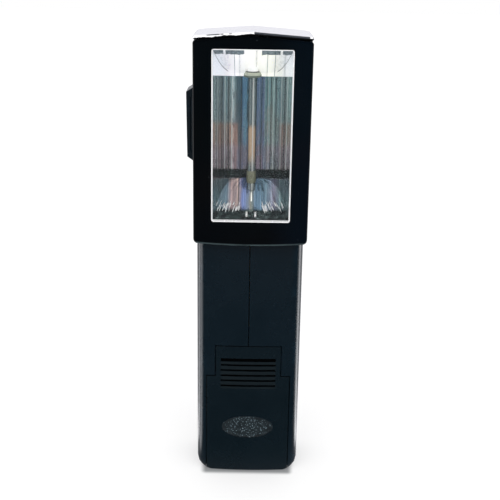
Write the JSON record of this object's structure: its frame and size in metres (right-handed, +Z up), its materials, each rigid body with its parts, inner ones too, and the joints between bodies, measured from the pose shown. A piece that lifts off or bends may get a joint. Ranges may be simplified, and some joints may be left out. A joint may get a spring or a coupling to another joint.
{
  "type": "electronic camera flash",
  "caption": "Slim upright electronic camera flash: tall windowed head with reflector and tube, narrower battery handle with a sliding door, and a connector arm that folds out of the head's side.",
  "frame": {"origin": "centre of the base, on the surface it stands on", "axes": "+Z up along the flash's long axis, -Y out of the window, +X to the right as seen from the front"},
  "size_m": [0.0437, 0.0308, 0.1703],
  "materials": {
    "satin_plastic": "satin blue-black moulded plastic with a fine grain",
    "gloss_plastic": "polished black plastic",
    "bright_trim": "bright plated plastic trim",
    "mirror_metal": "bright formed aluminium mirror, finely fluted",
    "clear_lens": "clear plastic pane",
    "tube_glass": "clear glass",
    "silicone": "olive grey silicone rubber",
    "tinned_steel": "tinned or nickel-plated steel",
    "cell_sleeve": "shrunk plastic sleeve, plain",
    "grey_plastic": "dark grey moulded plastic",
    "board": "brown phenolic board",
    "ferrite": "dark ferrite or epoxy",
    "winding_tape": "yellow winding tape",
    "amber": "amber clear plastic",
    "blank_plate": "dark anodised sheet, bare"
  },
  "bodies": {
    "body": {"housing_left": "satin_plastic", "housing_right": "satin_plastic", "housing_screw_rear_low": "tinned_steel", "housing_screw_rear_middle": "tinned_steel", "housing_screw_rear_high": "tinned_steel", "housing_screw_front": "tinned_steel", "top_cap": "bright_trim", "front_bezel": "gloss_plastic", "window_rim": "bright_trim", "window_lens": "clear_lens", "reflector": "mirror_metal", "flash_tube": "tube_glass", "tube_seal_upper": "silicone", "tube_seal_lower": "silicone", "tube_band": "silicone", "tube_lead_upper": "tinned_steel", "tube_lead_lower": "tinned_steel", "battery_cradle": "grey_plastic", "battery_cell_left": "cell_sleeve", "battery_cell_right": "cell_sleeve", "contact_upper_left": "tinned_steel", "contact_upper_right": "tinned_steel", "contact_bridge_lower": "tinned_steel", "circuit_board": "board", "storage_capacitor": "cell_sleeve", "transformer_core": "ferrite", "transformer_winding": "winding_tape", "trigger_coil": "winding_tape", "rectifier_diode": "ferrite", "oscillator_transistor": "ferrite", "neon_lamp": "tube_glass", "ready_lamp_window": "amber", "test_contact_leaf": "tinned_steel", "power_switch_body": "grey_plastic", "rear_plate": "blank_plate", "arm_hinge_pin": "tinned_steel", "arm_friction_washer": "tinned_steel"},
    "door": {"battery_door": "satin_plastic"},
    "arm": {"connector_arm": "satin_plastic", "contact_blade": "tinned_steel"},
    "button": {"test_button": "gloss_plastic"},
    "knob": {"power_switch_knob": "satin_plastic"}
  },
  "joints": [
    {"name": "door_slide", "type": "slide", "parent": "body", "child": "door", "axis": [0, 0, -1], "range_m": [0, 0.057]},
    {"name": "arm_fold", "type": "hinge", "parent": "body", "child": "arm", "pos_m": [-0.02, -0.0042, 0.1477], "axis": [0, 1, 0], "range_deg": [0, 90]},
    {"name": "test_button_press", "type": "slide", "parent": "body", "child": "button", "axis": [0, -1, 0], "range_m": [0, 0.001], "stiffness_N_per_m": 300},
    {"name": "power_switch_slide", "type": "slide", "parent": "body", "child": "knob", "axis": [1, 0, 0], "range_m": [0, 0.003]}
  ]
}
